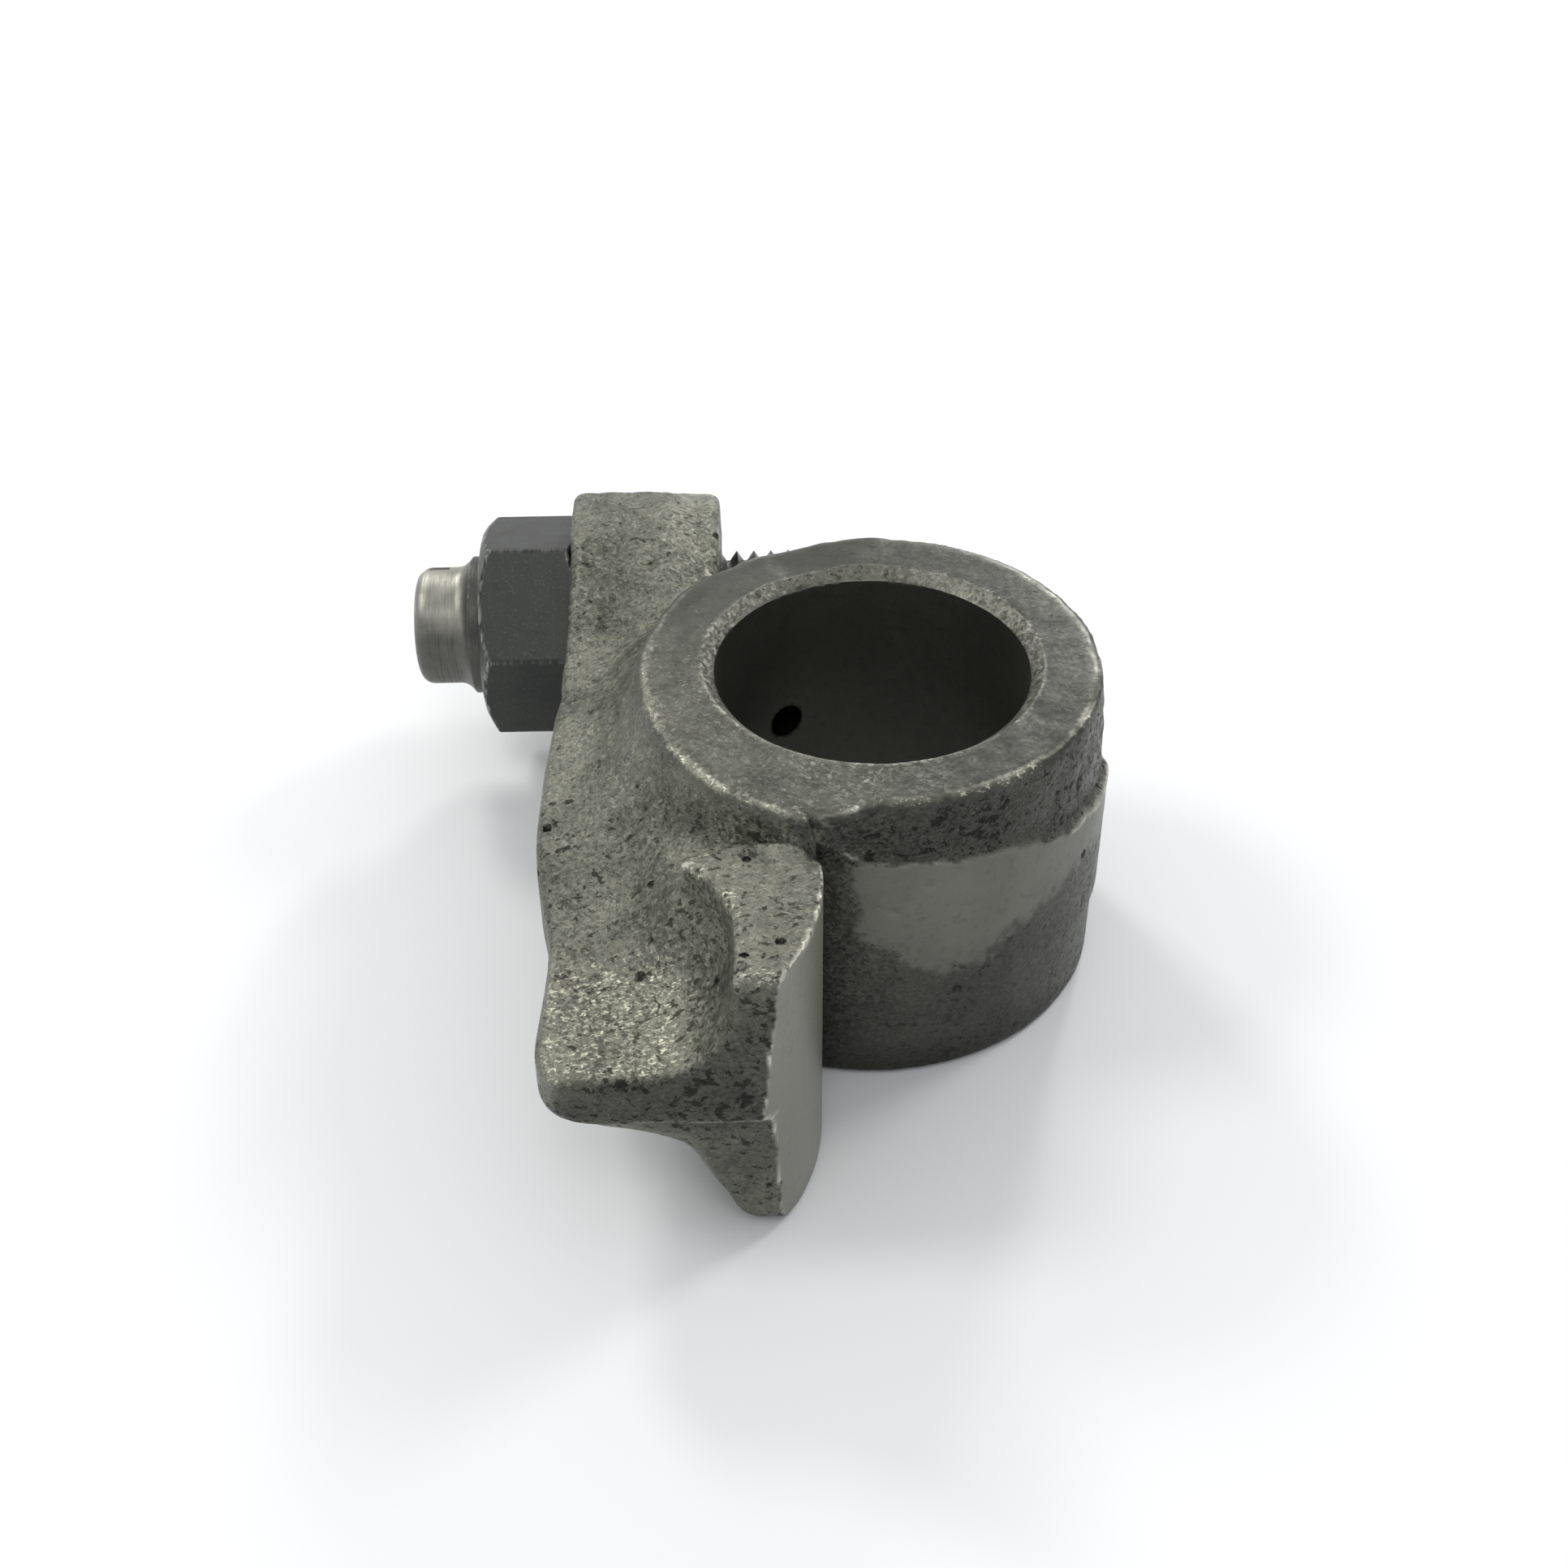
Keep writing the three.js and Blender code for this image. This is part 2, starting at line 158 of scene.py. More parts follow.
def curve(points):
    """A value that follows smoothed points of (position, value)."""
    p, v = np.array(points, float).T
    fine = np.linspace(p[0], p[-1], 20 * len(p))
    step = fine[1] - fine[0]
    half = max(1, int((p[-1] - p[0]) / len(p) / step / 2))
    kernel = np.hanning(2 * half + 3)
    values = np.convolve(np.pad(np.interp(fine, p, v), half + 1, mode="edge"),
                         kernel / kernel.sum(), mode="valid")
    return lambda at: np.interp(at, fine, values)


OUTLINE_ROUNDS = 3
OUTLINE_MARGIN = 12
OUTLINE_STEP = 0.12


def outline(points):
    """Signed distance in plan to a closed outline with its corners cut back smoothly."""
    loop = np.array(points, float)
    for _ in range(OUTLINE_ROUNDS):
        after = np.roll(loop, -1, 0)
        loop = np.stack((loop * 0.75 + after * 0.25, loop * 0.25 + after * 0.75), 1).reshape(-1, 2)
    low, step = loop.min(0) - OUTLINE_MARGIN, OUTLINE_STEP
    count = np.ceil((loop.max(0) + OUTLINE_MARGIN - low) / step).astype(int)
    gx = (low[0] + step * np.arange(count[0]))[:, None]
    gy = (low[1] + step * np.arange(count[1]))[None, :]
    near = np.full(count, 1e9)
    inside = np.zeros(count, bool)
    for (ax, ay), (bx, by) in zip(loop, np.roll(loop, -1, 0)):
        dx, dy = bx - ax, by - ay
        t = np.clip(((gx - ax) * dx + (gy - ay) * dy) / (dx * dx + dy * dy), 0, 1)
        near = np.minimum(near, (gx - ax - t * dx) ** 2 + (gy - ay - t * dy) ** 2)
        spans = (ay > gy) != (by > gy)
        if by != ay:
            inside ^= spans & (gx < ax + dx * (gy - ay) / dy)
    table = np.where(inside, -1, 1) * np.sqrt(near)

    def distance(x, y):
        u = np.clip((x - low[0]) / step, 0, count[0] - 1.001)
        v = np.clip((y - low[1]) / step, 0, count[1] - 1.001)
        i, j = u.astype(int), v.astype(int)
        u, v = u - i, v - j
        return ((table[i, j] * (1 - v) + table[i, j + 1] * v) * (1 - u)
                + (table[i + 1, j] * (1 - v) + table[i + 1, j + 1] * v) * u)

    return distance


# ---------- rocker arm ----------

BORE_R = 10
CHAMFER = 0.8
BOSS_FOOT_R, BOSS_BAND_R, BOSS_RIM_R = 14.95, 14.75, 14.4
BAND_FOOT_Z = 17.5
LAND_R = 15.02
LAND_STEP_Z = 6.0
LAND_PROUD = 0.26
EYE_R = 9.2
EYE_SEAT_X = -20
EYE_FRONT_X = -9.8
EYE_ROUND = 1.1
SEAT_R = 9
TAP_R = 5.26
TAP_MID_X = -14.9
FACE_R = 14.5
FACE_CENTRE = (-18.3, -19.0)
FACE_BACK_Y = -13
CLEAR_R = 15.1
PAD_HALF = 9.4
PAD_DRAFT = 0.45
HEAD_END_Y = -28.5
PARTING_Z = 10.3
PARTING_STEP = 0.25
NOSE_ROUND = 3.6
GROOVE_DEPTH, GROOVE_W = 0.55, 0.75
OIL_ANGLE = math.radians(122)
OIL_R = 1.2
OIL_Z = 10.6
OIL_MID, OIL_HALF = 8.5, 8
SKIN = 0.05
SKIN_LAYERS = ((0.10, 3.1, 3), (0.072, 1.2, 4), (0.036, 0.6, 5))
GROUND_SMOOTHNESS = 0.85

# The web's left and right sides and its half thickness, each along Y
WEB_LEFT = curve([(-32, -20.1), (-27, -20.1), (-24.5, -20.2), (-21.5, -20.0), (-18, -19.8),
                  (-15.5, -20.0), (-12.5, -20.7), (-9, -21.1), (-5, -20.9), (2, -20.4), (8, -20.1),
                  (14, -20.0), (31, -20.0)])
WEB_RIGHT = curve([(-32, -7.0), (-24, -7.4), (-14, -8), (0, -9.5), (12, -11), (31, -11)])
WEB_HALF = curve([(-32, 2.3), (-27, 2.4), (-22, 2.5), (-16, 2.8), (-12, 3.4), (-6, 4.9), (0, 5.5), (8, 5.8),
                  (13.5, 7.0), (16.5, 8.0), (31, 8.0)])
# The boss's shoulder with its tail towards the slipper, and the slipper, in plan
TOP_OUTLINE = outline([(0, -14.4), (-1.6, -15.3), (-3.6, -15.9), (-5.0, -17.1), (-5.8, -16.3), (-8.6, -13.6),
                       (-10.2, -12.1), (-11.7, -10.1), (-13.4, -7.5), (-14.5, -3), (-14.2, 0.5), (-12.8, 5),
                       (-10.4, 9.8), (-6, 12), (0, 6), (6, 0), (6, -8)])
PAD_OUTLINE = outline([(-12.2, -17.5), (-10.9, -16.7), (-9.0, -16.3), (-6.4, -16.2), (-4.3, -16.3),
                       (-3.0, -16.9), (-2.6, -19.5), (-2.8, -24), (-4.2, -31), (-8.9, -31), (-8.9, -26.8),
                       (-8.8, -24.9), (-8.85, -21.7), (-9.9, -19.7), (-10.9, -18.35)])
# The shallow groove between the boss and the slipper's top, along X
GROOVE_Y = curve([(-15, -11.5), (-13, -12.6), (-11.1, -13.8), (-8.1, -14.9), (-5.1, -16.3), (-3, -17.6)])


def land_top(angle):
    """How high the ground land reaches, at an angle round the bore in degrees."""
    return np.interp(angle, [-100, -80, -60, -40, 0, 90], [17.6, 17.8, 16.6, 15.4, 13.8, 13.8])


def angle_round(x, y):
    return np.degrees(np.arctan2(y, x))


def boss_field(x, y, z):
    """The boss's outside: a rough band that tapers upwards over a land with a ragged top edge."""
    angle = angle_round(x, y)
    edge = land_top(angle) + 0.5 * wobble(x, y, z, 2.3, 1)
    band_r = np.interp(z, [0, BAND_FOOT_Z, TOP_Z], [BOSS_FOOT_R, BOSS_BAND_R, BOSS_RIM_R])
    proud = LAND_PROUD * ramp(angle, -62, -20) * ramp(90 - angle, -30, 10)
    land_r = LAND_R + (0.02 + proud) * ramp(z, LAND_STEP_Z, LAND_STEP_Z + 0.35)
    land = ramp(edge - z, -0.4, 0.3)
    return np.hypot(x, y) - (band_r + (np.maximum(land_r, band_r) - band_r) * land)


def shoulder_field(x, y, z):
    """The boss's flared shoulder and tail. The tail is left off the lower half."""
    drop = MID_Z - np.abs(z - MID_Z)
    flare = (0.10 + 0.28 * ramp(-x, 5, 10) - 0.42 * ramp(x, -6, -3)) * drop
    tail = 2.2 * ramp(MID_Z - z, 2, 6) * ramp(-y, 11, 14)
    return (TOP_OUTLINE(x, y) - flare + tail) * 0.92


def head_end(y, z):
    """The forging's front end, which leans back from the middle and steps at the parting line."""
    lean = 0.105 * np.maximum(z - MID_Z, 0) + 0.05 * np.maximum(MID_Z - z, 0)
    return HEAD_END_Y + lean + PARTING_STEP * ramp(PARTING_Z - z, -0.1, 0.15) - y


def head_field(x, y, z):
    """Web and slipper together. Their fillets are fuller below the middle than above it."""
    up = np.abs(z - MID_Z)
    under = ramp(MID_Z - z, 0, 4)
    web = np.maximum(np.maximum(up - WEB_HALF(y), x - WEB_RIGHT(y)), y - SCREW_Y)
    ends = meet(up - PAD_HALF - 0.9 * under, head_end(y, z), 0.7 + 2.1 * under)
    pad = meet(PAD_OUTLINE(x, y) + PAD_DRAFT * under, ends, 0.6 + 0.7 * under)
    return join(web, pad, 6.2 + 5.4 * ramp(MID_Z - z, 0, 2))


def cast_field(x, y, z):
    """The forging without its skin and pits, before anything is machined."""
    up = np.abs(z - MID_Z)
    eye = meet(np.hypot(y - SCREW_Y, z - SCREW_Z) - EYE_R, x - EYE_FRONT_X, EYE_ROUND)
    body = join(boss_field(x, y, z), shoulder_field(x, y, z), 0.8)
    body = meet(body, up - MID_Z - 0.1, 0.8)
    body = join(body, head_field(x, y, z), 6.0 - 4.2 * ramp(up, 6.0, 8.6) * ramp(-y, 11, 15))
    body = join(body, eye, 0.6 + 4.4 * ramp(-x, 10.4, 13.5))
    groove = GROOVE_DEPTH * np.exp(-((y - GROOVE_Y(x)) / GROOVE_W) ** 2)
    body = body + groove * ramp(z - MID_Z, 6.0, 8.0) * ramp(x, -15, -12)
    nose_end = head_end(y, z) + 0.4 * ramp(MID_Z - z, -0.5, 2)
    nose = meet(WEB_LEFT(y) - x, nose_end, NOSE_ROUND)
    return meet(body, nose, 0.8 + 2.0 * ramp(-x, 10, 12) * ramp(MID_Z - z, -1.5, 1))


def face_arc(x, y):
    return np.hypot(x - FACE_CENTRE[0], y - FACE_CENTRE[1]) - FACE_R


def cutters(x, y, z):
    """Each machined surface's cutting tool, negative where it takes metal away."""
    r = np.hypot(x, y)
    screw_r = np.hypot(y - SCREW_Y, z - SCREW_Z)
    drop = MID_Z - np.abs(z - MID_Z)
    clear_r = CLEAR_R + 1.1 * ramp(z - MID_Z, 7.2, 9.2)
    from_tap = np.abs(x - TAP_MID_X)
    across = x * math.sin(OIL_ANGLE) - y * math.cos(OIL_ANGLE)
    along = x * math.cos(OIL_ANGLE) + y * math.sin(OIL_ANGLE)
    return {
        "ends": drop,
        "bore": r - BORE_R,
        "chamfer": (r - BORE_R - CHAMFER + drop) * 0.707,
        "cam_face": np.maximum(np.maximum(-face_arc(x, y), y - FACE_BACK_Y), clear_r - r),
        "seat": np.maximum(x - EYE_SEAT_X, screw_r - SEAT_R),
        "tapped": np.maximum(screw_r - TAP_R - np.clip(from_tap - 4.6, 0, 0.5), from_tap - 6),
        "oil": np.maximum(np.hypot(across, z - OIL_Z) - OIL_R, np.abs(along - OIL_MID) - OIL_HALF),
    }


def skin(x, y, z):
    """How far the forging's skin stands proud of its smooth shape."""
    return sum(height * wobble(x, y, z, size, seed) for height, size, seed in SKIN_LAYERS)


PIT_COUNT = 260
PIT_SEED = 5
PIT_GRID = 0.9
PIT_LEAST_R, PIT_SPREAD_R = 0.1, 0.18
PIT_REACH = 1.2
PITS = []


def find_pits():
    """Places for the larger pits: at random on the forging's skin, thickest on top of the slipper."""
    rng = np.random.default_rng(PIT_SEED)
    vertices, _ = contour(cast_field, ARM_LOW - 1, ARM_HIGH + 1, PIT_GRID, settled=False)
    x, y, z = vertices.T
    weight = 1 + 1.6 * ramp(-y, 13, 16) + 7 * ramp(-y, 16, 17) * ramp(z, TOP_Z - 2.5, TOP_Z - 2)
    weight = weight * (1 - ramp(z, TOP_Z - 1.6, TOP_Z - 1.2))
    picked = vertices[rng.choice(len(vertices), PIT_COUNT, replace=False, p=weight / weight.sum())]
    radii = PIT_LEAST_R + PIT_SPREAD_R * rng.random(PIT_COUNT) ** 3
    PITS.extend(zip(picked + rng.normal(0, 0.25, picked.shape) * 0.3, radii))


def pit_depth(x, y, z):
    """Signed distance to the nearest large pit, or 1 away from them all.

    Works on a grid, where x, y and z lie along its axes, and on a plain list of points.
    """
    near = np.ones(np.broadcast(x, y, z).shape)
    for (cx, cy, cz), radius in PITS:
        spans = [np.abs(c - at) < PIT_REACH for c, at in ((x, cx), (y, cy), (z, cz))]
        if near.ndim == 3:
            window = np.ix_(*(s.ravel() for s in spans))
            px, py, pz = x[spans[0].ravel()], y[:, spans[1].ravel()], z[:, :, spans[2].ravel()]
        else:
            window = spans[0] & spans[1] & spans[2]
            px, py, pz = x[window], y[window], z[window]
        if px.size and py.size and pz.size:
            d = np.sqrt((px - cx) ** 2 + (py - cy) ** 2 + (pz - cz) ** 2) - radius
            near[window] = np.minimum(near[window], d)
    return near


def arm_field(x, y, z):
    """The whole arm: the forging with skin and pits, then each cutter in turn."""
    on_land = ramp(np.hypot(x, y), 14.6, 14.9) * ramp(land_top(angle_round(x, y)) - z, 0, 0.5)
    rough = 1 - GROUND_SMOOTHNESS * on_land * ramp(y + x * 0.6, 12, 8)
    body = cast_field(x, y, z) - SKIN - skin(x, y, z) * rough
    body = meet(body, -pit_depth(x, y, z), 0.12)
    tools = cutters(x, y, z)
    body = meet(body, -tools.pop("ends"), 0.35 + 0.9 * ramp(y, 8, 11) * ramp(-x, 0, 5))
    body = meet(body, -tools.pop("cam_face"), 0.2 + 0.9 * ramp(z - MID_Z, 9.2, 10.2))
    for tool in tools.values():
        body = cut(body, tool)
    return body


def arm_smooth(x, y, z):
    """The arm without skin, pits and holes. Wear is found from its edges."""
    body = cast_field(x, y, z)
    tools = cutters(x, y, z)
    for name in ("ends", "chamfer", "cam_face"):
        body = cut(body, tools[name])
    return body


# ---------- adjusting screw and lock nut ----------

THREAD_R = 5.0
CREST_PROUD = 0.15
PITCH = 1.25
THREAD_DEPTH = 0.62 * PITCH
PLAIN_R = 4.25
PLAIN_L = 2.9
FLARE_L = 1.2
END_ROUND = 1.1
SLOT_HALF = 0.7
SLOT_DEPTH = 2.4
SLOT_ANGLE = math.radians(64)
TIP_R = 3.6
NECK_BACK = 3.0
END_BEVEL = 1.6
THREAD_START = SCREW_LOW[0] + PLAIN_L + FLARE_L
THREAD_END = -4.4


def screw_field(x, y, z):
    """A plain slotted end, a flare, a helical thread, and a round contact tip."""
    y, z = y - SCREW_Y, z - SCREW_Z
    r = np.hypot(y, z)
    start = SCREW_LOW[0]
    phase = (x / PITCH - np.arctan2(z, y) / (2 * math.pi)) % 1
    groove = THREAD_DEPTH * np.clip(1.25 - 2.3 * np.abs(phase - 0.5), 0, 1)
    fade = ramp(x, THREAD_START + 0.9, THREAD_START + 1.6) * ramp(THREAD_END - x, -0.2, 0.6)
    proud = CREST_PROUD * ramp(x, EYE_FRONT_X - 0.6, EYE_FRONT_X - 0.2)
    thread = THREAD_R + proud - groove * fade
    flare = np.clip((x - start - PLAIN_L) / FLARE_L, 0, 1) ** 2.2
    shank = PLAIN_R + (THREAD_R - PLAIN_R) * flare
    radius = np.where(x < THREAD_START, shank, thread) - np.clip(x - THREAD_END, 0, END_BEVEL)
    body = meet((r - radius) * 0.8, start - x, END_ROUND)
    ball = np.sqrt(r * r + (x - (SCREW_HIGH[0] - TIP_R)) ** 2) - TIP_R
    neck = np.maximum(body, x - (SCREW_HIGH[0] - NECK_BACK))
    body = np.minimum(neck, ball)
    across = -y * math.sin(SLOT_ANGLE) + z * math.cos(SLOT_ANGLE)
    slot = np.maximum(np.abs(across) - SLOT_HALF, x - start - SLOT_DEPTH)
    return meet(body, -slot, 0.12)


NUT_HALF = 7.0
NUT_TURN = math.radians(16)
NUT_OUTER_R, NUT_SEAT_R = 6.7, 7.3
NUT_SLOPE = 1.75
NUT_HOLE_R = 5.1
NUT_FLAT_ROUND = 0.25
NUT_EDGE_ROUND = 0.12


def nut_field(x, y, z):
    """A hexagon bevelled at both ends, with a countersunk hole."""
    y, z = y - SCREW_Y, z - SCREW_Z
    r = np.hypot(y, z)
    start, end = NUT_LOW[0], NUT_HIGH[0]
    body = np.full(np.broadcast(x, y, z).shape, -1e3)
    for k in range(3):
        angle = NUT_TURN + math.radians(60 * k)
        flat = np.abs(y * math.cos(angle) + z * math.sin(angle)) - NUT_HALF
        body = meet(body, flat, NUT_FLAT_ROUND)
    outer = (r - NUT_OUTER_R - (x - start) * NUT_SLOPE) * 0.5
    seat = (r - NUT_SEAT_R - (end - x) * NUT_SLOPE) * 0.5
    for face in (outer, seat, start - x):
        body = meet(body, face, NUT_EDGE_ROUND)
    body = np.maximum(body, x - end)
    hole = r - NUT_HOLE_R - np.maximum(0, 0.75 - (x - start)) - np.maximum(0, 0.3 - (end - x))
    return cut(body, hole)


# ---------- meshes ----------

SLOPE_STEP = 0.02
SLABS = 8
PULL_TO_CENTRE = 0.08
SETTLE_ROUNDS = 6


def slopes(field, p):
    """Unit normals of a field at points, from four samples round each."""
    total = np.zeros_like(p)
    for corner in ((1, 1, 1), (1, -1, -1), (-1, 1, -1), (-1, -1, 1)):
        at = p + SLOPE_STEP * np.array(corner)
        total += np.outer(field(*at.T), corner)
    return total / np.maximum(np.linalg.norm(total, axis=1, keepdims=True), 1e-9)


def flip_lone_corners(values):
    """Flips grid corners whose six neighbours all have the other sign. Each would leave a speck."""
    inside = np.pad(values < 0, 1, mode="edge")
    around = sum(np.roll(inside, way, axis)[1:-1, 1:-1, 1:-1].astype(int)
                 for axis in range(3) for way in (-1, 1))
    inside = inside[1:-1, 1:-1, 1:-1]
    values[np.where(inside, around == 0, around == 6)] *= -1


def chequered_faces(values):
    """Grid faces whose signs alternate round them, where two sheets would share an edge."""
    found = []
    for axis in range(3):
        face = np.moveaxis(values, axis, 0) < 0
        a, b, c, d = face[:, :-1, :-1], face[:, 1:, :-1], face[:, :-1, 1:], face[:, 1:, 1:]
        found += [(axis, tuple(at)) for at in np.argwhere((a == d) & (b == c) & (a != b))]
    return found


def settle(values):
    """Clears lone corners and chequered faces, flipping the corner nearest the surface each time."""
    flip_lone_corners(values)
    for _ in range(SETTLE_ROUNDS):
        faces = chequered_faces(values)
        for axis, (i, j, k) in faces:
            plane = np.moveaxis(values, axis, 0)
            corners = [(i, j + dj, k + dk) for dj in (0, 1) for dk in (0, 1)]
            nearest = min(corners, key=lambda at: abs(plane[at]))
            plane[nearest] *= -1
        if not faces:
            break
    return values


def crossings(values, low, step):
    """Where grid edges cross the surface: points, first grid corner, axis, and which way is out."""
    points, corners, axes, outward = [], [], [], []
    for axis in range(3):
        before = [slice(None)] * 3
        after = [slice(None)] * 3
        before[axis], after[axis] = slice(None, -1), slice(1, None)
        a, b = values[tuple(before)], values[tuple(after)]
        at = np.argwhere((a < 0) != (b < 0))
        va, vb = a[tuple(at.T)], b[tuple(at.T)]
        p = at.astype(float)
        p[:, axis] += va / (va - vb)
        points.append(low + p * step)
        corners.append(at)
        axes.append(np.full(len(at), axis))
        outward.append(va < 0)
    return [np.concatenate(c) for c in (points, corners, axes, outward)]


def cells_round(corners, axes):
    """The four grid cells round each crossed grid edge, in turn."""
    around = np.zeros((len(corners), 4, 3), int)
    for axis in range(3):
        mine = axes == axis
        b, c = (axis + 1) % 3, (axis + 2) % 3
        for n, (db, dc) in enumerate(((-1, -1), (0, -1), (0, 0), (-1, 0))):
            cell = corners[mine].copy()
            cell[:, b] += db
            cell[:, c] += dc
            around[mine, n] = cell
    return around


def best_points(points, normals, quads, n):
    """One point for each of n cells, close to the tangent planes at its crossings and to their middle."""
    flat = quads.ravel()
    p, m = np.repeat(points, 4, 0), np.repeat(normals, 4, 0)
    hits = np.bincount(flat, minlength=n)
    centre = np.stack([np.bincount(flat, p[:, a], n) for a in range(3)], 1) / hits[:, None]
    offset = np.einsum("ij,ij->i", m, p - centre[flat])
    right = np.stack([np.bincount(flat, m[:, a] * offset, n) for a in range(3)], 1)
    square = np.stack([np.bincount(flat, m[:, a] * m[:, b], n) for a in range(3) for b in range(3)], 1)
    square = square.reshape(n, 3, 3) + PULL_TO_CENTRE * np.eye(3)
    return centre + np.linalg.solve(square, right[:, :, None])[:, :, 0]


def contour(field, low, high, step, settled=True):
    """Dual contouring: one vertex in each grid cell that the surface passes, so edges stay sharp."""
    count = np.ceil((high - low) / step).astype(int) + 1
    x, y, z = (low[a] + step * np.arange(count[a]) for a in range(3))
    x, y, z = x[:, None, None], y[None, :, None], z[None, None, :]
    values = np.concatenate([np.broadcast_to(field(s, y, z), (len(s),) + tuple(count[1:]))
                             for s in np.array_split(x, SLABS)]).astype(np.float32)
    if settled:
        values = settle(values)
    points, corners, axes, outward = crossings(values, low, step)
    ids = np.ravel_multi_index(np.moveaxis(cells_round(corners, axes), 2, 0), count)
    cells, quads = np.unique(ids, return_inverse=True)
    quads = quads.reshape(ids.shape)
    vertices = best_points(points, slopes(field, points), quads, len(cells))
    first = low + step * np.stack(np.unravel_index(cells, count), 1)
    vertices = np.clip(vertices, first, first + step)
    quads[~outward] = quads[~outward][:, ::-1]
    return vertices, quads


def sharpness(field, p, h):
    """How convex the surface is at each point: positive on an edge, negative in a hollow."""
    total = -6 * field(*p.T)
    for axis in range(3):
        for sign in (-1, 1):
            at = p.copy()
            at[:, axis] += sign * h
            total = total + field(*at.T)
    return total / h


def add_piece(name, vertices, quads, masks, material, body, node, sharp_degrees):
    """A mesh that carries its masks, rides on a body and stands for a CAD node."""
    mesh = bpy.data.meshes.new(name)
    mesh.vertices.add(len(vertices))
    mesh.vertices.foreach_set("co", (vertices * MM).astype(np.float32).ravel())
    mesh.loops.add(quads.size)
    mesh.loops.foreach_set("vertex_index", quads.astype(np.int32).ravel())
    mesh.polygons.add(len(quads))
    mesh.polygons.foreach_set("loop_start", np.arange(0, quads.size, 4, dtype=np.int32))
    mesh.polygons.foreach_set("use_smooth", np.ones(len(quads), bool))
    for label, values in masks.items():
        layer = mesh.attributes.new(label, "FLOAT", "POINT")
        layer.data.foreach_set("value", np.asarray(values, np.float32))
    mesh.update(calc_edges=True)
    mesh.validate()
    mesh.set_sharp_from_angle(angle=math.radians(sharp_degrees))
    mesh.materials.append(material)
    piece = bpy.data.objects.new(name, mesh)
    bpy.context.scene.collection.objects.link(piece)
    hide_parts(node)
    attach(piece, body)


# ---------- materials ----------

# The arm: the forging's scale, its ground faces, and what lies on both, with painted shade and painted
# highlights
SCALE_DARK, SCALE_LIGHT, SCALE_PATCH = (0.088, 0.090, 0.073), (0.172, 0.175, 0.142), (0.20, 0.202, 0.160)
GRAIN_DARK, GRAIN_LIGHT = (0.042, 0.041, 0.035), (0.46, 0.455, 0.36)
GROUND_DARK, GROUND_LIGHT, GROUND_STAIN = (0.082, 0.084, 0.072), (0.106, 0.108, 0.093), (0.045, 0.044, 0.040)
# Clean machined metal, also a faint painted highlight on the head's tops; and metal on worn edges
CLEAN_METAL_AND_HIGHLIGHT, WORN_METAL = (0.30, 0.295, 0.255), (0.60, 0.59, 0.51)
# Soot; the same colours paint shade in the holes, on the nose end and towards the boss's foot
SOOT_SHADE_DARK, SOOT_SHADE_LIGHT, SOOT_SHADE_EVEN = (0.014, 0.014, 0.013), (0.06, 0.059, 0.053), (0.036, 0.036, 0.032)
# Painted sheen and painted glints
PAINTED_SHEEN, PAINTED_GLINT = (0.42, 0.415, 0.335), (0.80, 0.79, 0.63)
PIT_COLOUR = (0.014, 0.013, 0.011)
# The screw, the nut and the floor
TURNED_DARK, TURNED_LIGHT = (0.26, 0.256, 0.225), (0.40, 0.39, 0.34)
# Turning marks, and painted shade for the screw's neck and underside
TURNED_MARK, TURNED_PAINTED_SHADE = (0.09, 0.088, 0.08), (0.045, 0.044, 0.042)
BLACK_DARK, BLACK_LIGHT, BLACK_DUST = (0.039, 0.041, 0.038), (0.055, 0.057, 0.052), (0.13, 0.135, 0.13)
# Scuffs, and painted shade round the nut's hole
NUT_SCUFF, NUT_HOLE_SHADE = (0.42, 0.42, 0.40), (0.03, 0.03, 0.03)
FLOOR_DARK, FLOOR_LIGHT = (0.80, 0.815, 0.83), (0.84, 0.85, 0.86)


